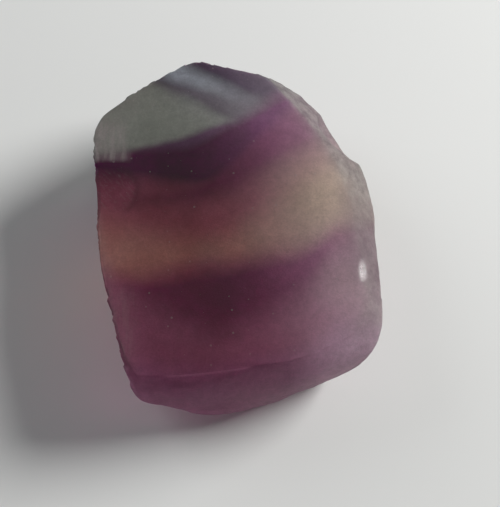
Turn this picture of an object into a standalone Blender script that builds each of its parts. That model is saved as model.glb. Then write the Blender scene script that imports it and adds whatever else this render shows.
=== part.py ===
"""Raw fluorite: one loose, rough piece of a banded crystal, in metres.

The stone lies on a small flat patch of its underside at z = 0, with its one large, flat face up.
+Y runs along its length and +X across it. Its walls are flat breaks, each given by the direction
that it faces, how far it stands from the stone's axis and how much it leans. Shell-shaped scars
and low cleavage ledges are cut into it afterwards.
"""

import math

import bmesh
import bpy
from mathutils import Matrix, Vector

MM = 0.001

# The stone's height, and how far its edges are worn round
HEIGHT = 12.5 * MM
WORN_RADIUS = 0.35 * MM
ROUGH_BLOCK = 60 * MM

# Walls that meet the large face: heading in degrees, reach from the axis in mm at the height of
# that face, and lean in degrees, positive where the wall looks up
UPPER_WALLS = (
    (185.3, 14.75, 1.5),
    (194.6, 15.15, 2),
    (222, 20.5, 8),
    (270.5, 18.2, 12),
    (277.5, 17.3, 12),
    (291, 17.85, 12),
    (322, 19.8, 20),
    (8.2, 13.45, 31),
    (20, 13.4, 33),
    (41, 14.25, 33),
    (78, 18.05, 6),
    (106, 20.0, 2),
    (121, 19.1, 2),
    (129, 19.2, 2),
    (155, 18.85, 3),
)

# Walls of the lower half, with their reach taken at BELT_HEIGHT; they look down a little
BELT_HEIGHT = 6 * MM
LOWER_WALLS = (
    (185, 15.3, -8),
    (193, 15.3, -6),
    (230, 20.95, -12),
    (262, 21.3, -10),
    (275, 21.45, -10),
    (291, 18.9, -10),
    (312, 21.0, -12),
    (335, 19.0, -10),
    (0, 15.5, -8),
    (14, 16.15, -9),
    (28, 16.35, -10),
    (45, 17.2, -12),
    (62, 18.95, -14),
    (80, 18.75, -15),
    (115, 19.5, -15),
    (150, 19.15, -12),
    (58, 18.7, -40),
    (138, 19.4, -44),
    (212, 19.2, -36),
    (246, 21.9, -30),
    (350, 17.0, -32),
)

# Slopes of the underside: they leave the resting patch at this reach and rise from it
UNDERSIDE_SLOPES = (
    (15, 5.0, -73),
    (98, 9.5, -78),
    (180, 9.5, -81),
    (238, 9.0, -75),
    (310, 11.5, -79),
)

# Scars: deepest point in mm, the heading and the tilt that the hollow opens to, and its radius
SCARS = {
    "notch": ((10.95, 10.45, 7.6), 38, 26, 5.0),
    "right_hollow": ((15.8, -1.7, 7.0), 2, 8, 14.0),
    "crest_hollow": ((3.2, -16.45, 12.1), 277.5, 14, 18.0),
    "front_hollow": ((-7.9, -17.3, 1.6), 252, -5, 9.0),
    "back_hollow": ((-8.6, 16.1, 5.2), 118, -8, 13.0),
    "back_right_hollow": ((5.9, 15.9, 4.2), 70, -14, 11.0),
    "left_hollow": ((-14.4, 0.6, 4.4), 187, -10, 13.0),
    "corner_chip": ((-7.85, 17.5, 12.2), 125, 8, 12.0),
    "flake": ((-14.6, 3.4, 12.25), 186, 85, 18.0),
    "underside_hollow": ((11.6, -7.0, 3.3), 350, -58, 12.0),
}
SCAR_SEGMENTS = 5

# Cleavage ledges under the rim: heading, reach in mm of the riser, and height of the tread in mm
LEDGES = {
    "left_ledge": (186, 12.9, 1.7),
    "left_step": (173, 14.4, 4.2),
    "back_ledge": (126, 15.4, 2.2),
    "back_step": (108, 17.5, 4.6),
    "corner_ledge": (66, 14.2, 3.4),
    "right_ledge": (6, 13.4, 3.9),
    "front_ledge": (246, 16.2, 1.6),
}
LEDGE_LENGTH = 40 * MM


def direction(heading, tilt):
    """Unit vector that points along a heading and up by a tilt, both in degrees."""
    heading = math.radians(heading)
    tilt = math.radians(tilt)
    level = math.cos(tilt)
    return Vector((math.cos(heading) * level, math.sin(heading) * level, math.sin(tilt)))


def clear_scene():
    for obj in list(bpy.data.objects):
        bpy.data.objects.remove(obj, do_unlink=True)


def new_collection(name):
    collection = bpy.data.collections.new(name)
    bpy.context.scene.collection.children.link(collection)
    return collection


def fluorite_material():
    material = bpy.data.materials.new("banded_fluorite")
    material.use_nodes = True
    shader = material.node_tree.nodes["Principled BSDF"]
    shader.inputs["Base Color"].default_value = (0.17, 0.07, 0.12, 1)
    shader.inputs["Roughness"].default_value = 0.45
    shader.inputs["Metallic"].default_value = 0.0
    shader.inputs["IOR"].default_value = 1.434
    return material


def cut_flat(mesh, heading, reach, lean, level):
    """Breaks the block off along one plane, moved in by the radius that the edges are worn to."""
    outward = direction(heading, lean)
    on_plane = direction(heading, 0) * reach * MM + Vector((0, 0, level))
    faces = mesh.verts[:] + mesh.edges[:] + mesh.faces[:]
    cut = bmesh.ops.bisect_plane(
        mesh,
        geom=faces,
        dist=1e-9,
        plane_co=on_plane - outward * WORN_RADIUS,
        plane_no=outward,
        clear_outer=True,
    )
    rim = [part for part in cut["geom_cut"] if isinstance(part, bmesh.types.BMEdge)]
    if rim:
        bmesh.ops.edgeloop_fill(mesh, edges=rim)


def broken_block():
    """The flat-sided block between all the breaks, smaller than the stone by the worn radius."""
    mesh = bmesh.new()
    bmesh.ops.create_cube(mesh, size=ROUGH_BLOCK)
    inner_height = HEIGHT - 2 * WORN_RADIUS
    for corner in mesh.verts:
        corner.co.z = WORN_RADIUS + inner_height * (corner.co.z > 0)
    for wall in UPPER_WALLS:
        cut_flat(mesh, *wall, level=HEIGHT)
    for wall in LOWER_WALLS:
        cut_flat(mesh, *wall, level=BELT_HEIGHT)
    for slope in UNDERSIDE_SLOPES:
        cut_flat(mesh, *slope, level=0)
    return mesh


def worn_hull(block):
    """Rounds every edge and corner: a small ball at each corner of the block, wrapped in a hull."""
    mesh = bmesh.new()
    for corner in block.verts:
        bmesh.ops.create_icosphere(
            mesh, subdivisions=1, radius=WORN_RADIUS, matrix=Matrix.Translation(corner.co)
        )
    hull = bmesh.ops.convex_hull(mesh, input=mesh.verts[:])
    loose = hull["geom_interior"] + hull["geom_unused"]
    loose = {part for part in loose if isinstance(part, bmesh.types.BMVert)}
    bmesh.ops.delete(mesh, geom=list(loose), context="VERTS")
    kept = {face for face in hull["geom"] if isinstance(face, bmesh.types.BMFace)}
    old = [face for face in mesh.faces if face not in kept]
    bmesh.ops.delete(mesh, geom=old, context="FACES")
    bmesh.ops.recalc_face_normals(mesh, faces=mesh.faces[:])
    return mesh


def new_object(name, mesh, collection, parent):
    data = bpy.data.meshes.new(name)
    mesh.to_mesh(data)
    mesh.free()
    obj = bpy.data.objects.new(name, data)
    collection.objects.link(obj)
    obj.parent = parent
    return obj


def scar_ball(point, heading, tilt, radius):
    """The ball whose surface is the scar: it touches the deepest point from outside."""
    centre = (Vector(point) + direction(heading, tilt) * radius) * MM
    mesh = bmesh.new()
    bmesh.ops.create_icosphere(
        mesh, subdivisions=SCAR_SEGMENTS, radius=radius * MM, matrix=Matrix.Translation(centre)
    )
    return mesh


def ledge_box(heading, reach, height):
    """The box that is missing beyond a ledge's riser and below its tread."""
    mesh = bmesh.new()
    bmesh.ops.create_cube(mesh, size=LEDGE_LENGTH)
    drop = height * MM - LEDGE_LENGTH / 2
    bmesh.ops.translate(mesh, verts=mesh.verts, vec=(reach * MM + LEDGE_LENGTH / 2, 0, drop))
    turn = Matrix.Rotation(math.radians(heading), 3, "Z")
    bmesh.ops.rotate(mesh, verts=mesh.verts, cent=(0, 0, 0), matrix=turn)
    return mesh


def cut_away(stone, cutter):
    cutter.hide_render = True
    cutter.display_type = "WIRE"
    boolean = stone.modifiers.new(cutter.name, "BOOLEAN")
    boolean.operation = "DIFFERENCE"
    boolean.solver = "EXACT"
    boolean.object = cutter


def centre_on_axis(stone, axis):
    """Moves the stone and what cuts it so that the middle of its outline stands on the axis."""
    bpy.context.view_layer.update()
    shape = stone.evaluated_get(bpy.context.evaluated_depsgraph_get())
    corners = [stone.matrix_world @ Vector(corner) for corner in shape.bound_box]
    for side in (0, 1):
        places = [corner[side] for corner in corners]
        axis.location[side] = -(min(places) + max(places)) / 2
    bpy.context.view_layer.update()


def main():
    clear_scene()
    parts = new_collection("fluorite")
    cutters = new_collection("fluorite_cutters")
    axis = bpy.data.objects.new("stone_axis", None)
    parts.objects.link(axis)

    block = broken_block()
    stone = new_object("fluorite", worn_hull(block), parts, axis)
    block.free()
    stone.data.materials.append(fluorite_material())

    for name, scar in SCARS.items():
        cut_away(stone, new_object(name, scar_ball(*scar), cutters, axis))
    for name, ledge in LEDGES.items():
        cut_away(stone, new_object(name, ledge_box(*ledge), cutters, axis))
    centre_on_axis(stone, axis)


main()
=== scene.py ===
"""Raw fluorite: one loose, rough piece of banded crystal, lying on its flat under soft daylight."""
import itertools
import math

import bpy
import numpy as np
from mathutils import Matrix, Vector


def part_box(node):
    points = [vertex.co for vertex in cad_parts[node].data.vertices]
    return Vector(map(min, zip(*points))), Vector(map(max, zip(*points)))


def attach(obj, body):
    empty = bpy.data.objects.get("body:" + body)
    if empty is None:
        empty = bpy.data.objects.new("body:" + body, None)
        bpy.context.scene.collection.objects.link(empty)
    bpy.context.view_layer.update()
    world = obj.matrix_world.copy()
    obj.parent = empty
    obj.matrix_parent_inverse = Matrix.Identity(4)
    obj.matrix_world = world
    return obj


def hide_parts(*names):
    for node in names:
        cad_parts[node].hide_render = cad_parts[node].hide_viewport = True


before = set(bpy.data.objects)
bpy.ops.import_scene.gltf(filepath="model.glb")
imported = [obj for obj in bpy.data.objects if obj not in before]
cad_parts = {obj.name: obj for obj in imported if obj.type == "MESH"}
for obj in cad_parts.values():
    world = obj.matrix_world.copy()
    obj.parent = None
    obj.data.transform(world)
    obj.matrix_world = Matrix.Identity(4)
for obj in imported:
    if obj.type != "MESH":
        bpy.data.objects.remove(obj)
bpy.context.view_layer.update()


# The stone.
# One loose piece of fluorite, a clear crystal that grew in flat zones. It splits along flat planes
# and chips in shallow shells, and its edges have since worn a little round.
MM = 0.001

# Height of the large face over the patch that the stone lies on, in mm like all its sizes
HEIGHT = 12.5

# Walls that meet the large face: heading in degrees, reach from the axis at the height of that
# face, and lean in degrees, positive where the wall looks up
UPPER_WALLS = (
    (185.3, 14.75, 1.5),
    (194.6, 15.15, 2),
    (222, 20.5, 8),
    (270.5, 18.2, 12),
    (277.5, 17.3, 12),
    (291, 17.85, 12),
    (322, 19.8, 20),
    (8.2, 13.45, 31),
    (20, 13.4, 33),
    (41, 14.25, 33),
    (78, 18.05, 6),
    (106, 20.0, 2),
    (121, 19.1, 2),
    (129, 19.2, 2),
    (155, 18.85, 3),
)

# Walls of the lower half, with their reach taken at the belt; they look down a little
BELT_HEIGHT = 6.0
LOWER_WALLS = (
    (185, 15.3, -8),
    (193, 15.3, -6),
    (230, 20.95, -12),
    (262, 21.3, -10),
    (275, 21.45, -10),
    (291, 18.9, -10),
    (312, 21.0, -12),
    (335, 19.0, -10),
    (0, 15.5, -8),
    (14, 16.15, -9),
    (28, 16.35, -10),
    (45, 17.2, -12),
    (62, 18.95, -14),
    (80, 18.75, -15),
    (115, 19.5, -15),
    (150, 19.15, -12),
    (58, 18.7, -40),
    (138, 19.4, -44),
    (212, 19.2, -36),
    (246, 21.9, -30),
    (350, 17.0, -32),
)

# Slopes of the underside, with their reach taken where they leave the resting patch
UNDERSIDE_SLOPES = (
    (15, 5.0, -73),
    (98, 9.5, -78),
    (180, 9.5, -81),
    (238, 9.0, -75),
    (310, 11.5, -79),
)

# Scars: deepest point, the heading and the tilt that the hollow opens to, and its radius
SCARS = {
    "notch": ((10.95, 10.45, 7.6), 38, 26, 5.0),
    "right_hollow": ((15.8, -1.7, 7.0), 2, 8, 14.0),
    "crest_hollow": ((3.2, -16.45, 12.1), 277.5, 14, 18.0),
    "front_hollow": ((-7.9, -17.3, 1.6), 252, -5, 9.0),
    "back_hollow": ((-8.6, 16.1, 5.2), 118, -8, 13.0),
    "back_right_hollow": ((5.9, 15.9, 4.2), 70, -14, 11.0),
    "left_hollow": ((-14.4, 0.6, 4.4), 187, -10, 13.0),
    "corner_chip": ((-7.85, 17.5, 12.2), 125, 8, 12.0),
    "flake": ((-14.6, 3.4, 12.25), 186, 85, 18.0),
    "underside_hollow": ((11.6, -7.0, 3.3), 350, -58, 12.0),
}

# Cleavage ledges under the rim: heading, reach of the riser, and height of the tread
LEDGES = {
    "left_ledge": (186, 12.9, 1.7),
    "left_step": (173, 14.4, 4.2),
    "back_ledge": (126, 15.4, 2.2),
    "back_step": (108, 17.5, 4.6),
    "corner_ledge": (66, 14.2, 3.4),
    "right_ledge": (6, 13.4, 3.9),
    "front_ledge": (246, 16.2, 1.6),
}

# Bevels that wear has left on the crests: heading, reach at the large face, and lean
WORN_CRESTS = (
    (268, 17.75, 50),
    (276, 16.9, 50),
    (292, 16.9, 50),
    (318, 17.6, 55),
    (8.2, 13.2, 62),
    (30, 13.3, 62),
)

# One fresh chip on the right crest: its middle, the heading and tilt that its flat faces, and the
# radius that it curves to along the crest
CHIP = ((13.95, -5.5, 11.98), 3, 63, 9.0)

# Crispness of the edges, as the inverse of the rounding in mm, how many times crisper the rims of
# scars and ledges are, and what wear takes off the edges
EDGE_SHARPNESS = 7.0
SCAR_CRISPER = 1.4
LEDGE_CRISPER = 2
CREST_SHARPNESS = 2.0
CHIP_SHARPNESS = 20.0
FRONT_WEAR = 0.65
RIGHT_WEAR = 0.3


def facing(heading, tilt):
    """Unit vector along a heading, raised by a tilt, both in degrees."""
    heading, tilt = math.radians(heading), math.radians(tilt)
    return np.array(
        [math.cos(heading) * math.cos(tilt), math.sin(heading) * math.cos(tilt), math.sin(tilt)]
    )


def break_planes():
    """Outward directions of all the flat breaks, and how far each one lies from the origin."""
    outward = [np.array([0.0, 0.0, 1.0]), np.array([0.0, 0.0, -1.0])]
    distance = [HEIGHT, 0.0]
    for walls, level in ((UPPER_WALLS, HEIGHT), (LOWER_WALLS, BELT_HEIGHT), (UNDERSIDE_SLOPES, 0)):
        for heading, reach, lean in walls:
            outward.append(facing(heading, lean))
            point = facing(heading, 0) * reach + np.array([0, 0, level])
            distance.append(outward[-1] @ point)
    return np.array(outward), np.array(distance)


OUTWARD, DISTANCE = break_planes()


def rise(value, start, end):
    """Share that grows in a straight line from 0 at start to 1 at end."""
    return np.clip((value - start) / (end - start), 0, 1)


def blunt_larger(first, second, sharpness):
    """The larger of two depths, with the corner between them rounded off: the larger plus
    log(1 + exp(-gap * sharpness)) / sharpness."""
    gap = np.abs(first - second)
    return np.maximum(first, second) + np.log1p(np.exp(-gap * sharpness)) / sharpness


def edge_sharpness(points):
    """How crisp the edges are: worn softest along the front crest, less so at the right."""
    front = rise(points[:, 1], -12.5, -16.0)
    right = rise(points[:, 0], 9.0, 13.0)
    return EDGE_SHARPNESS * (1 - FRONT_WEAR * front) * (1 - RIGHT_WEAR * right)


def depth_outside(points):
    """How far points lie outside the stone, in mm: the largest of the distances past each break,
    blended by a log of summed exponentials so that edges are round, then raised inside a scar's
    ball, beyond a ledge's riser and tread, and past the worn crests and the chip."""
    past = points @ OUTWARD.T - DISTANCE
    most = past.max(axis=1)
    sharpness = edge_sharpness(points)
    spread = np.exp((past - most[:, None]) * sharpness[:, None]).sum(axis=1)
    depth = most + np.log(spread) / sharpness
    for point, heading, tilt, radius in SCARS.values():
        ball = np.array(point) + facing(heading, tilt) * radius
        hollow = radius - np.linalg.norm(points - ball, axis=1)
        depth = blunt_larger(depth, hollow, sharpness * SCAR_CRISPER)
    for heading, reach, height in LEDGES.values():
        missing = np.minimum(points @ facing(heading, 0) - reach, height - points[:, 2])
        depth = blunt_larger(depth, missing, EDGE_SHARPNESS * LEDGE_CRISPER)
    for heading, reach, lean in WORN_CRESTS:
        crest = facing(heading, 0) * reach + np.array([0, 0, HEIGHT])
        depth = blunt_larger(depth, (points - crest) @ facing(heading, lean), CREST_SHARPNESS)
    point, heading, tilt, radius = CHIP
    past_chip = (points - np.array(point)) @ facing(heading, tilt)
    past_chip -= (points[:, 1] - point[1]) ** 2 / (2 * radius)
    return blunt_larger(depth, past_chip, CHIP_SHARPNESS)


# Large odd numbers that scramble a lattice corner's place and a seed into 16 random bits
CORNER_KEYS = np.array([73856093, 19349663, 83492791])
SEED_KEY = 2654435761
SCRAMBLE_KEY = 1274126177
SIXTEEN_BITS = 0xFFFF


def lattice_noise(points, cell, seed):
    """Smooth noise from -1 to 1: a seeded value at each corner of a cubic lattice, eased between."""
    place = points / cell
    corner = np.floor(place).astype(np.int64)
    part = place - corner
    ease = part * part * (3 - 2 * part)
    total = np.zeros(len(points))
    for step in itertools.product((0, 1), repeat=3):
        bits = (corner + step) @ CORNER_KEYS + seed * SEED_KEY
        bits = (bits ^ (bits >> 13)) * SCRAMBLE_KEY
        value = ((bits ^ (bits >> 16)) & SIXTEEN_BITS) / (SIXTEEN_BITS / 2) - 1
        total += value * np.prod(np.where(step, ease, 1 - ease), axis=1)
    return total


def layered_noise(points, cell, seed, layers):
    """Lattice noise with finer, weaker layers added, each half the size and half the strength."""
    return sum(lattice_noise(points, cell / 2**i, seed + i) / 2**i for i in range(layers))


# The point inside the stone that all rays start from, and the stretch of a ray that is searched
CENTRE = np.array([0.0, 0.0, 6.3])
NEAREST = 2.0
FARTHEST = 40.0
HALVINGS = 20

# The grid of rays, how much the face's rows crowd towards its edge, and the finer steps that the
# rows of the walls are spaced by
COLUMNS = 560
TOP_ROWS = 44
SIDE_ROWS = 120
EDGE_CROWDING = 1.9
FINE_STEPS = 700


def surface_on_rays(rays):
    """Where each ray from the centre leaves the stone, by halving the stretch that holds it."""
    near, far = np.full(len(rays), NEAREST), np.full(len(rays), FARTHEST)
    for _ in range(HALVINGS):
        middle = (near + far) / 2
        outside = depth_outside(CENTRE + rays * middle[:, None]) > 0
        far = np.where(outside, middle, far)
        near = np.where(outside, near, middle)
    return CENTRE + rays * near[:, None]


def length_to_breaks(start, rays):
    """How far rays run from a point inside until the first flat break: the least of each break's
    distance divided by the share of the ray that runs towards it."""
    tiny = 1e-6
    towards = rays @ OUTWARD.T
    distance = DISTANCE - OUTWARD @ start
    return np.where(towards > tiny, distance / np.maximum(towards, tiny), np.inf).min(axis=1)


def stone_rays():
    """Directions of a grid of rays: one column for each bearing round the axis, and rows that run
    out over the large face, down the wall and in under the stone. A ray is the level bearing times
    the sine of its fall from the vertical, plus the cosine upwards. The face's last rows crowd
    towards its edge, so that the edge runs along a row, and the wall's rows are evenly spaced."""
    bearing = np.linspace(0, 2 * math.pi, COLUMNS, endpoint=False)
    level = np.stack([np.cos(bearing), np.sin(bearing), np.zeros(COLUMNS)], axis=1)
    upward = np.array([0, 0, 1])

    to_face = HEIGHT - CENTRE[2]
    rim = length_to_breaks(CENTRE + upward * to_face, level)
    share = 1 - (1 - np.arange(1, TOP_ROWS + 1) / TOP_ROWS) ** EDGE_CROWDING
    top_falls = np.arctan2(rim[None, :] * share[:, None], to_face)

    below_rim = np.linspace(0, 1, FINE_STEPS)[:, None]
    falls = top_falls[-1] + (math.pi - top_falls[-1]) * below_rim
    lengths = np.array([
        length_to_breaks(CENTRE, level * np.sin(fall)[:, None] + upward * np.cos(fall)[:, None])
        for fall in falls
    ])
    outward, down = lengths * np.sin(falls), lengths * np.cos(falls)
    stretch = np.hypot(np.diff(outward, axis=0), np.diff(down, axis=0))
    run = np.vstack([np.zeros(COLUMNS), np.cumsum(stretch, axis=0)])
    wanted = np.arange(1, SIDE_ROWS + 1) / (SIDE_ROWS + 1)
    side_falls = np.stack(
        [np.interp(wanted * run[-1, i], run[:, i], falls[:, i]) for i in range(COLUMNS)], axis=1
    )
    falls = np.vstack([top_falls, side_falls])
    rays = level[None] * np.sin(falls)[..., None]
    rays[..., 2] = np.cos(falls)
    return rays.reshape(-1, 3)


def grid_faces(rows, columns):
    """Quads between neighbouring rows and columns, closed round, with a fan over each pole."""
    index = np.arange(rows * columns).reshape(rows, columns)
    beside = np.roll(index, -1, axis=1)
    quads = np.stack([index[:-1], index[1:], beside[1:], beside[:-1]], axis=-1).reshape(-1, 4)
    top, bottom = rows * columns, rows * columns + 1
    cap = np.stack([np.full(columns, top), index[0], beside[0]], axis=1)
    base = np.stack([np.full(columns, bottom), beside[-1], index[-1]], axis=1)
    return quads.tolist() + cap.tolist() + base.tolist()


def grid_normals(points):
    """Outward direction at each grid point: the cross product of its steps down and along."""
    along = np.roll(points, -1, axis=1) - np.roll(points, 1, axis=1)
    down = np.gradient(points, axis=0)
    normal = np.cross(down, along)
    return normal / np.maximum(np.linalg.norm(normal, axis=2, keepdims=True), 1e-9)


# Heights of the broken surface's relief in mm
SWELL_HEIGHT = 0.16
HACKLE_HEIGHT = 0.05
PIT_DEPTH = 0.15
FACE_UNEVENNESS = 0.014

# Fine cleavage steps: the heading and tilt that they climb to, their spacing, and a seed
STEP_SETS = ((35, 62, 1.1, 51), (150, 20, 1.7, 61), (265, 48, 0.8, 66))
STEP_HEIGHT = 0.16
TREAD_SHARE = 0.86


def cleavage_steps(points, normals):
    """Patches of fine cleavage steps on the far and left walls: a saw wave along each climb, slow
    up the tread and quick down the riser."""
    steps = 0
    for heading, tilt, spacing, seed in STEP_SETS:
        climb = points @ facing(heading, tilt) / spacing + 0.9 * lattice_noise(points, 5.0, seed)
        part = climb % 1
        wave = np.minimum(part / TREAD_SHARE, (1 - part) / (1 - TREAD_SHARE)) - 0.5
        patch = rise(lattice_noise(points, 4.0, seed + 20), 0, 0.4)
        steps = steps + STEP_HEIGHT * spacing * patch * wave
    return steps * rise(normals @ facing(150, -20), -0.175, 0.325)


def break_relief(points, normals):
    """Height of the broken surface in mm: slow swells and hackle on the walls, pits on the right
    one, cleavage steps, and almost nothing on the chip, the large face and the resting patch."""
    wall = rise(np.abs(normals[:, 2]), 0.93, 0.68)
    swell = SWELL_HEIGHT * layered_noise(points, 4.5, 11, 2)
    hackle = HACKLE_HEIGHT * layered_noise(points, 1.1, 31, 2)
    pits = PIT_DEPTH * np.clip(0.1 - layered_noise(points, 1.4, 41, 2), -0.4, 0)
    pits *= rise(normals @ facing(15, 0), 0.2, 0.7)
    from_chip = np.linalg.norm(points - np.array(CHIP[0]), axis=1)
    wall *= np.maximum(rise(from_chip, 1.3, 2.8), 0.1)
    flat = FACE_UNEVENNESS * layered_noise(points, 3.0, 91, 2)
    return wall * (swell + hackle + pits + cleavage_steps(points, normals)) + flat


def fluorite_mesh():
    """The stone's mesh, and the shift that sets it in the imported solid's place. Each point is where
    its ray leaves the stone, plus the relief along the outward direction there."""
    rows = TOP_ROWS + SIDE_ROWS
    points = surface_on_rays(stone_rays())
    normals = grid_normals(points.reshape(rows, COLUMNS, 3)).reshape(-1, 3)
    points = points + normals * break_relief(points, normals)[:, None]
    poles = np.array([[0, 0, HEIGHT], [0, 0, 0]])
    points = np.vstack([points, poles])
    low, high = (np.array(corner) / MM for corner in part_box("fluorite"))
    shift = (low + high) / 2 - (points.min(axis=0) + points.max(axis=0)) / 2
    shift[2] = low[2]
    points[:, 2] = np.maximum(points[:, 2], 0)
    points = (points + shift) * MM
    mesh = bpy.data.meshes.new("fluorite_stone")
    mesh.from_pydata(points.tolist(), [], grid_faces(rows, COLUMNS))
    mesh.validate()
    mesh.shade_smooth()
    mesh.update()
    return mesh, shift


stone_mesh, shift = fluorite_mesh()


def seen(red, green, blue):
    """A colour as it looks in daylight, 0 to 255, made linear."""
    shares = [part / 255 for part in (red, green, blue)]
    return tuple(s / 12.92 if s < 0.04045 else ((s + 0.055) / 1.055) ** 2.4 for s in shares) + (1,)


def feed(tree, socket, source):
    """Links a socket to another node's output, or sets its own value."""
    if isinstance(source, bpy.types.NodeSocket):
        tree.links.new(source, socket)
    else:
        socket.default_value = source


def add_node(tree, kind, inputs, output=0, **settings):
    """Adds a node, sets it up, feeds its inputs, and returns one of its outputs."""
    made = tree.nodes.new(kind)
    for name, value in settings.items():
        setattr(made, name, value)
    for name, source in inputs.items():
        feed(tree, made.inputs[name], source)
    return made.outputs[output]


def number(tree, operation, *sources):
    """One step of arithmetic on numbers."""
    return add_node(tree, "ShaderNodeMath", dict(enumerate(sources)), operation=operation)


def product(tree, first, *others):
    """Several masks or numbers multiplied together."""
    for factor in others:
        first = number(tree, "MULTIPLY", first, factor)
    return first


def vector(tree, operation, *sources, output=0):
    """One step of arithmetic on vectors: output 0 gives a vector, and output 1 a number."""
    inputs = dict(enumerate(sources))
    return add_node(tree, "ShaderNodeVectorMath", inputs, output, operation=operation)


def scaled(tree, source, size):
    """A vector made longer or shorter."""
    inputs = {"Vector": source, "Scale": size}
    return add_node(tree, "ShaderNodeVectorMath", inputs, operation="SCALE")


def eased(tree, value, start, end, low=0.0, high=1.0):
    """Moves smoothly from low at start to high at end."""
    inputs = {"Value": value, "From Min": start, "From Max": end, "To Min": low, "To Max": high}
    return add_node(tree, "ShaderNodeMapRange", inputs, interpolation_type="SMOOTHSTEP")


def mixed(tree, share, first, second, blend="MIX"):
    """Two colours mixed by a share."""
    inputs = {0: share, 6: first, 7: second}
    return add_node(
        tree, "ShaderNodeMix", inputs, output=2, data_type="RGBA", blend_type=blend, clamp_factor=True
    )


def noise(tree, place, cell, detail=2.0, roughness=0.5, stretch=(1, 1, 1)):
    """Noise round 0.5 whose lumps are about one cell wide, in mm, drawn out along an axis."""
    cells = vector(tree, "MULTIPLY", place, [share / cell for share in stretch])
    inputs = {"Vector": cells, "Scale": 1.0, "Detail": detail, "Roughness": roughness}
    return add_node(tree, "ShaderNodeTexNoise", inputs)


# What the face of a growth zone is given by, and how round its bend is
FACE_VALUES = ("Height", "Slope", "Bend", "Bend Place", "Softness", "Spread")
BEND_ROUNDNESS = 6.0


def zone_edge_group():
    """Node group: 1 below the face of a growth zone and 0 above it. The face is a line across the
    stone that bends once: height + slope * x + bend * ramp(x - bend place), where ramp(t) is
    (t + sqrt(t * t + roundness)) / 2. The spread is added to the softness towards the right."""
    group = bpy.data.node_groups.new("zone_edge", "ShaderNodeTree")
    group.interface.new_socket("Place", in_out="INPUT", socket_type="NodeSocketVector")
    for name in FACE_VALUES:
        group.interface.new_socket(name, in_out="INPUT", socket_type="NodeSocketFloat")
    group.interface.new_socket("Below", in_out="OUTPUT", socket_type="NodeSocketFloat")
    given = group.nodes.new("NodeGroupInput").outputs
    across = add_node(group, "ShaderNodeSeparateXYZ", {0: given["Place"]})
    along = across.node.outputs[1]
    past = number(group, "SUBTRACT", across, given["Bend Place"])
    width = number(group, "SQRT", number(group, "MULTIPLY_ADD", past, past, BEND_ROUNDNESS))
    ramp = number(group, "MULTIPLY", number(group, "ADD", past, width), 0.5)
    line = number(group, "MULTIPLY_ADD", across, given["Slope"], given["Height"])
    line = number(group, "MULTIPLY_ADD", ramp, given["Bend"], line)
    below = number(group, "SUBTRACT", line, along)
    right = eased(group, across, -2.0, 10.0)
    soft = number(group, "MULTIPLY_ADD", right, given["Spread"], given["Softness"])
    mask = eased(group, below, number(group, "MULTIPLY", soft, -1.0), soft)
    feed(group, group.nodes.new("NodeGroupOutput").inputs["Below"], mask)
    return group


zone_edge = zone_edge_group()

# Growth zones from the far end down: colour through the thick of the stone, then the zone's upper
# face as height at the axis, slope, bend, where it bends, softness, and what the right side adds
TOP_ZONE = (30, 10, 35)
ZONES = (
    ((155, 165, 175), (15.0, -0.6, -0.15, 0.0, 1.6, 0.6)),
    ((75, 65, 75), (15.0, -0.25, -0.05, 0.0, 1.2, 0.6)),
    ((135, 140, 130), (11.5, -0.5, 0.0, 0.0, 1.0, 0.6)),
    ((85, 45, 80), (9.5, 0.15, 0.2, -12.5, 0.6, 2.0)),
    ((60, 0, 40), (8.7, 0.05, 0.7, -4.0, 0.8, 1.2)),
    ((125, 48, 70), (3.4, -0.1, 0.75, -1.5, 1.2, 1.4)),
    ((85, 5, 45), (4.0, 0.15, 0.9, -3.0, 1.0, 0.5)),
    ((135, 60, 75), (1.4, -0.05, 0.6, -3.0, 1.8, 0.7)),
    ((165, 110, 100), (-3.6, -0.2, 0.8, -2.5, 2.5, 0.5)),
    ((135, 60, 80), (-3.8, 0.2, -0.05, -2.0, 1.4, 0.0)),
    ((100, 14, 60), (-5.9, 0.1, 0.12, -3.0, 0.9, 0.3)),
    ((135, 65, 95), (-16.0, -0.7, 1.25, -2.5, 2.5, 0.0)),
    ((172, 104, 147), (-17.7, -0.08, 0.3, -2.0, 2.2, 0.1)),
)


def zone_colour(tree, place):
    """The growth zones laid over each other, from the far end to the near one."""
    colour = seen(*TOP_ZONE)
    for tint, face in ZONES:
        edge = tree.nodes.new("ShaderNodeGroup")
        edge.node_tree = zone_edge
        for name, value in zip(FACE_VALUES, face):
            edge.inputs[name].default_value = value
        feed(tree, edge.inputs["Place"], place)
        colour = mixed(tree, edge.outputs["Below"], colour, seen(*tint))
    return colour


# The zones lean back as they go down, wander a little, and turn up near the right side
ZONE_LEAN = -0.16
ZONE_WANDER = 1.6
WANDER_SCALE = 0.16
TURN_START = 6.0
TURN_WIDTH = 5.0
TURN_LIFT = 0.09


def zone_places(tree, place):
    """How far a point lies across, along and up the stone, with across and along moved by the
    zones' wander and lean: along + lean * depth under the large face."""
    inputs = {"Vector": place, "Scale": WANDER_SCALE, "Detail": 2.0}
    wander = add_node(tree, "ShaderNodeTexNoise", inputs, output=1)
    wander = scaled(tree, vector(tree, "SUBTRACT", wander, (0.5, 0.5, 0.5)), ZONE_WANDER)
    across = add_node(tree, "ShaderNodeSeparateXYZ", {0: vector(tree, "ADD", place, wander)})
    along = across.node.outputs[1]
    up = add_node(tree, "ShaderNodeSeparateXYZ", {0: place}, output=2)
    depth = number(tree, "SUBTRACT", HEIGHT, up)
    return across, number(tree, "MULTIPLY_ADD", depth, ZONE_LEAN, along), up


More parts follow.
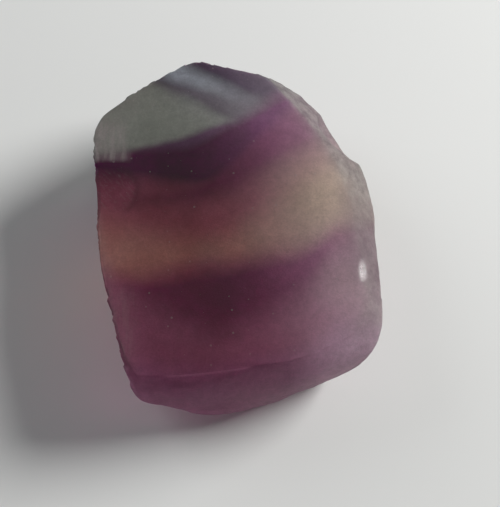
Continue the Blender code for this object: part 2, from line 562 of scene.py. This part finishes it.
def turned_up(tree, across, along, up):
    """The place that the zones are read at: lower by lift * run squared, where the run is how far
    the point lies past the start of the turn, up to the turn's width."""
    run = number(tree, "MAXIMUM", number(tree, "SUBTRACT", across, TURN_START), 0.0)
    run = number(tree, "MINIMUM", run, TURN_WIDTH)
    lift = product(tree, run, run, TURN_LIFT)
    along = number(tree, "SUBTRACT", along, lift)
    return add_node(tree, "ShaderNodeCombineXYZ", {0: across, 1: along, 2: up})


# Slant of the line along which the stone gets thinner, what the thin parts take off the light's
# way through it, a paleness at the right that is partly this thinness and partly painted light from
# the window there, and how far a pale veil of painted light hides the colour at the right
THIN_SLANT = 0.30
RIGHT_THINNER = 0.56
LEFT_THINNER = 0.14
WALL_THINNER = 0.08
LIT_VEIL_SHARE = 0.34
LIT_VEIL_TINT = (165, 175, 172)


def deepened_and_lit(tree, colour, place, across, along, up):
    """The zones' colour to the power of how much stone the light crosses, as a dye in glass
    deepens: most left of the middle, less at the thin right side, which is partly painted light from
    the window there, and on the walls. A pale veil of painted light, standing in for that window's
    light scattered in the stone, then grows towards the right."""
    reach = number(tree, "MULTIPLY_ADD", along, THIN_SLANT, across)
    # paler towards the right: partly the thinner stone, partly painted light from the window at the
    # right
    thinner = eased(tree, reach, -7.0, 10.0, 0.0, RIGHT_THINNER)
    left = eased(tree, across, -4.0, -15.5, 0.0, LEFT_THINNER)
    wall = eased(tree, up, 12.3, 11.4)
    thickness = number(tree, "SUBTRACT", 1.0, thinner)
    thickness = number(tree, "SUBTRACT", thickness, left)
    thickness = number(tree, "MULTIPLY_ADD", wall, -WALL_THINNER, thickness)
    cloud = eased(tree, noise(tree, place, 3.2, 3.0), 0.2, 0.8, 0.93, 1.07)
    colour = add_node(tree, "ShaderNodeGamma", {0: colour, 1: product(tree, thickness, cloud)})
    # painted light: a pale veil for the window's light scattered inside the stone at the right
    lit_veil = eased(tree, reach, -2.5, 14.0, 0.0, LIT_VEIL_SHARE)
    return mixed(tree, lit_veil, colour, seen(*LIT_VEIL_TINT))


# A warm, thin pocket and a pale one near the right side: middle, radius, tint and share
POCKETS = (
    ((9.5, 3.5, HEIGHT), 8.0, (205, 192, 155), 0.5),
    ((12.0, -7.0, HEIGHT), 5.0, (165, 155, 145), 0.28),
)


def with_pockets(tree, colour, place):
    """Round pockets that are strongest in the middle."""
    for middle, radius, tint, share in POCKETS:
        away = vector(tree, "DISTANCE", place, middle, output=1)
        colour = mixed(tree, eased(tree, away, radius, 0.0, 0.0, share), colour, seen(*tint))
    return colour


# Frost on the right wall, in blotches of two greys, and a darker tint along its crest and the wall
# under it
GREY_FROST = (132, 126, 126)
PALE_FROST = (182, 180, 174)
CREST_DARK = (96, 74, 84)


def with_right_wall(tree, colour, place, across, along, up, crest):
    """Grey frost over the right wall and its far corner, and a darker tint along the crest and the
    wall under it on its near half.
    """
    corner = number(tree, "MAXIMUM", number(tree, "SUBTRACT", along, 5.0), 0.0)
    side = eased(tree, number(tree, "MULTIPLY_ADD", corner, 0.9, across), 10.3, 13.6)
    grey = product(
        tree,
        side,
        eased(tree, along, 1.0, 6.0, 0.6, 0.85),
        eased(tree, along, -14.0, -10.0),
        eased(tree, up, 3.0, 9.5, 0.3, 1.0),
        crest,
    )
    blotch = eased(tree, noise(tree, place, 1.5, 5.0, 0.7), 0.33, 0.67)
    frost = mixed(tree, blotch, seen(*GREY_FROST), seen(*PALE_FROST))
    colour = mixed(tree, grey, colour, frost)
    # darker along the crest and down the wall under it, on the near half of the right side
    worn = product(
        tree,
        eased(tree, up, 12.49, 12.3),
        eased(tree, up, 6.0, 11.0),
        eased(tree, across, 10.5, 12.0),
        eased(tree, along, 5.0, 2.0, 0.0, 0.34),
        eased(tree, along, -8.5, -6.0),
    )
    return mixed(tree, worn, colour, seen(*CREST_DARK))


# The front wall's painted shade and light: a dark line of painted shade under the crest, a haze of
# painted light at its foot, and painted shade on the duller corner at its right
SHADE_LINE_TINT = (62, 28, 48)
LIT_FOOT_TINT = (198, 172, 180)
SHADED_CORNER_TINT = (92, 66, 82)


def with_front_wall(tree, colour, across, along, up):
    """A faint dark line of painted shade under the front crest, a wall that turns paler towards its
    foot as painted light comes through it, and painted shade on the corner at its right.
    """
    front = eased(tree, along, -11.0, -13.0)
    # painted shade: a dark line where the wall under the crest turns away from the light
    line = product(tree, eased(tree, up, 12.48, 12.38), eased(tree, up, 11.0, 12.0), front, 0.08)
    colour = mixed(tree, line, colour, seen(*SHADE_LINE_TINT))
    # painted light: the wall paler towards its foot, as light comes through the thin lower edge
    lit_foot = product(
        tree, eased(tree, up, 11.0, 6.0), eased(tree, across, -4.0, 4.0, 0.18, 0.5), front
    )
    colour = mixed(tree, lit_foot, colour, seen(*LIT_FOOT_TINT))
    # painted shade: the wall under the crest made duller at the front right corner
    corner = product(
        tree, eased(tree, across, 8.5, 11.5), eased(tree, along, -9.0, -11.5, 0.0, 0.14)
    )
    return mixed(tree, corner, colour, seen(*SHADED_CORNER_TINT))


# Pale bloom of bruised, scratched or dusty skin
BLOOM = (178, 170, 168)


def with_left_frost(tree, colour, place, across, along, face):
    """Pale frosted streaks by the left corners and along the left edge of the large face."""
    streak = eased(tree, noise(tree, place, 0.42, 2.0, 0.6, (1.0, 0.14, 0.5)), 0.4, 0.64)
    far_corner = product(
        tree,
        eased(tree, across, -11.6, -13.2),
        eased(tree, along, 6.6, 7.4),
        eased(tree, along, 12.5, 10.5),
    )
    near_corner = product(
        tree, eased(tree, across, -9.6, -12.0), eased(tree, along, -6.5, -9.0), 0.2
    )
    corners = number(tree, "MULTIPLY_ADD", far_corner, 0.85, near_corner)
    from_edge = number(tree, "MULTIPLY_ADD", across, 0.97, product(tree, along, 0.25))
    from_edge = eased(tree, from_edge, -13.6, -15.0, 0.0, 0.16)
    frost = product(
        tree,
        number(tree, "MAXIMUM", corners, from_edge),
        face,
        number(tree, "MULTIPLY_ADD", streak, 0.6, 0.4),
    )
    return mixed(tree, frost, colour, seen(*BLOOM))


# The shallow flake by the left edge: its middle, and the turn of the scratches in it
FLAKE_MIDDLE = (-13.4, 3.4, 12.4)
FLAKE_EDGE_TINT = (58, 24, 36)
SCRATCH_TURN = math.radians(48)


def with_flake(tree, colour, place, across):
    """A dark curved edge round the flake, and pale scratches inside it."""
    away = vector(tree, "DISTANCE", place, FLAKE_MIDDLE, output=1)
    edge = product(
        tree,
        eased(tree, away, 2.1, 2.6),
        eased(tree, away, 3.4, 2.6),
        eased(tree, across, -13.0, -11.4, 0.0, 0.4),
    )
    colour = mixed(tree, edge, colour, seen(*FLAKE_EDGE_TINT))
    inputs = {"Vector": place, "Angle": SCRATCH_TURN}
    turned = add_node(tree, "ShaderNodeVectorRotate", inputs, rotation_type="Z_AXIS")
    scratch = eased(tree, noise(tree, turned, 0.3, 3.0, 0.7, (0.3, 1.0, 0.5)), 0.48, 0.7)
    inside = product(tree, eased(tree, away, 2.8, 1.8, 0.0, 0.13), scratch)
    return mixed(tree, inside, colour, seen(*BLOOM))


# Dust: cells for each mm, the share of cells that stays empty, the least and the largest radius of
# a speck as a share of its cell, and how much of the stone it hides
DUST_CELLS = 0.45
EMPTY_CELLS = 0.45
SPECK_RADII = (0.012, 0.055)
SPECK_SHARE = 0.38


def with_dust_and_grain(tree, colour, place, face):
    """Dust on the large face, a fine mottling and a finer grain all over."""
    inputs = {"Vector": place, "Scale": DUST_CELLS}
    away = add_node(tree, "ShaderNodeTexVoronoi", inputs, voronoi_dimensions="2D")
    chance = add_node(tree, "ShaderNodeSeparateColor", {0: away.node.outputs["Color"]})
    radius = eased(tree, chance, EMPTY_CELLS, 1.0, *SPECK_RADII)
    speck = product(tree, number(tree, "GREATER_THAN", radius, away), face, SPECK_SHARE)
    colour = mixed(tree, speck, colour, seen(*BLOOM))
    mottle = eased(tree, noise(tree, place, 0.9, 3.0, 0.7), 0.3, 0.7, 0.9, 1.1)
    grain = eased(tree, noise(tree, place, 0.22, 3.0, 0.65), 0.25, 0.75, 0.88, 1.12)
    return mixed(tree, 1.0, colour, product(tree, mottle, grain), "MULTIPLY")


# Roughness of the frosted large face and of the walls, and what the clean chip takes off it
FACE_ROUGHNESS = 0.56
WALL_ROUGHNESS = 0.74
CHIP_POLISH = 0.46


def frosted_roughness(tree, place, crest):
    """Frosted all over, rougher on the walls and their crests, and clean on the flat of the chip,
    within a long oval that tapers off along the crest."""
    point, heading, tilt, _ = CHIP
    from_middle = vector(tree, "SUBTRACT", place, shift + point)
    off_flat = vector(tree, "DOT_PRODUCT", from_middle, facing(heading, tilt), output=1)
    on_flat = eased(tree, number(tree, "ABSOLUTE", off_flat), 0.16, 0.05)
    oval = vector(tree, "MULTIPLY", from_middle, (2.0, 0.8, 1.0))
    away = vector(tree, "LENGTH", oval, output=1)
    chip = product(tree, on_flat, eased(tree, away, 1.5, 0.5, 0.0, CHIP_POLISH))
    rough = eased(tree, crest, 0.0, 1.0, FACE_ROUGHNESS, WALL_ROUGHNESS)
    return number(tree, "SUBTRACT", rough, chip)


def frosted_normal(tree, place, crest):
    """Sugary frost all over, with coarser pitting on the walls and crests."""
    sugar = noise(tree, place, 0.16, 2.0, 0.6)
    pitting = product(tree, noise(tree, place, 0.55, 3.0, 0.6), crest)
    height = number(tree, "MULTIPLY_ADD", pitting, 2.0, sugar)
    return add_node(
        tree, "ShaderNodeBump", {"Strength": 0.5, "Distance": 0.04 * MM, "Height": height}
    )


# Optics of the stone: its IOR, the clear and the cloudy share, how far light spreads in the cloudy
# one in m, and what tints the light in the clear one, for each m
FLUORITE_IOR = 1.434
CLEAR_SHARE = 0.7
CLOUDY_SHARE = 0.3
LIGHT_SPREAD = (0.006, 0.004, 0.005)
BODY_TINT = (0.86, 0.70, 0.80, 1)
BODY_DENSITY = 30.0


def fluorite_material():
    """Partly clear, partly cloudy stone with a frosted skin. Its colour is read from the place on
    the stone, and its clear share is tinted further by the way that light goes inside."""
    material = bpy.data.materials.new("banded_fluorite")
    material.use_nodes = True
    tree = material.node_tree
    shader = tree.nodes["Principled BSDF"]

    place = scaled(tree, add_node(tree, "ShaderNodeTexCoord", {}, output=3), 1 / MM)
    across, along, up = zone_places(tree, place)
    crest = eased(tree, up, 12.46, 11.9)
    face = number(tree, "SUBTRACT", 1.0, crest)

    colour = zone_colour(tree, turned_up(tree, across, along, up))
    colour = deepened_and_lit(tree, colour, place, across, along, up)
    colour = with_pockets(tree, colour, place)
    colour = with_right_wall(tree, colour, place, across, along, up, crest)
    colour = with_front_wall(tree, colour, across, along, up)
    colour = with_left_frost(tree, colour, place, across, along, face)
    colour = with_flake(tree, colour, place, across)
    colour = with_dust_and_grain(tree, colour, place, face)

    feed(tree, shader.inputs["Base Color"], colour)
    feed(tree, shader.inputs["Roughness"], frosted_roughness(tree, place, crest))
    feed(tree, shader.inputs["Normal"], frosted_normal(tree, place, crest))
    shader.inputs["IOR"].default_value = FLUORITE_IOR
    shader.inputs["Specular IOR Level"].default_value = 0.2
    shader.inputs["Transmission Weight"].default_value = CLEAR_SHARE
    shader.inputs["Subsurface Weight"].default_value = CLOUDY_SHARE
    shader.inputs["Subsurface Radius"].default_value = LIGHT_SPREAD
    shader.inputs["Subsurface Scale"].default_value = 1.0

    inputs = {"Color": BODY_TINT, "Density": BODY_DENSITY}
    body = add_node(tree, "ShaderNodeVolumeAbsorption", inputs)
    feed(tree, tree.nodes["Material Output"].inputs["Volume"], body)
    return material


stone_mesh.materials.append(fluorite_material())
stone = bpy.data.objects.new("fluorite_stone", stone_mesh)
bpy.context.scene.collection.objects.link(stone)
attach(stone, "root")
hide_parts("fluorite")


# The floor.
# A wide, plain, pale sheet of matt paper under the stone, which takes its shadow and throws a
# little light back into it.
bpy.ops.mesh.primitive_plane_add(size=1.2, location=(0, 0, 0))
floor = bpy.context.object
floor.name = "floor"
paper = bpy.data.materials.new("pale_floor")
paper.use_nodes = True
paper_shader = paper.node_tree.nodes["Principled BSDF"]
paper_shader.inputs["Base Color"].default_value = (0.78, 0.79, 0.78, 1)
paper_shader.inputs["Roughness"].default_value = 0.8
floor.data.materials.append(paper)


# The light.
# Soft daylight: a large window behind the stone at the right, a weaker glow from the room behind
# it at the left, and an even, faint light from all round.
def soft_light(name, place, size, power, colour):
    """A round lamp at a place in m, turned towards the stone."""
    light = bpy.data.lights.new(name, "AREA")
    light.shape = "DISK"
    light.size = size
    light.energy = power
    light.color = colour
    lamp = bpy.data.objects.new(name, light)
    lamp.location = place
    lamp.rotation_euler = (-Vector(place)).to_track_quat("-Z", "Y").to_euler()
    bpy.context.scene.collection.objects.link(lamp)


soft_light("window", (0.33, 0.15, 0.24), 0.20, 2.3, (1.0, 0.99, 0.975))
soft_light("room", (-0.30, 0.20, 0.22), 0.30, 0.4, (0.96, 0.98, 1.0))

sky = bpy.data.worlds.new("soft_room")
sky.use_nodes = True
sky.node_tree.nodes["Background"].inputs["Color"].default_value = (0.95, 0.97, 1.0, 1)
sky.node_tree.nodes["Background"].inputs["Strength"].default_value = 0.10
bpy.context.scene.world = sky


# The camera.
# A short telephoto lens that looks down steeply on the large face from the near side. Its place
# and what it looks at are in mm.
EYE_PLACE = (1.605, -46.13, 142.69)
LOOKS_AT = (1.605, -3.83, 12.5)
camera = bpy.data.cameras.new("camera")
camera.lens = 90
camera.sensor_width = 36
camera.clip_start = 0.01
eye = bpy.data.objects.new("camera", camera)
eye.location = Vector(EYE_PLACE) * MM
aim = Vector(LOOKS_AT) * MM
eye.rotation_euler = (aim - eye.location).to_track_quat("-Z", "Y").to_euler()
bpy.context.scene.collection.objects.link(eye)
bpy.context.scene.camera = eye
bpy.context.scene.view_settings.view_transform = "Standard"
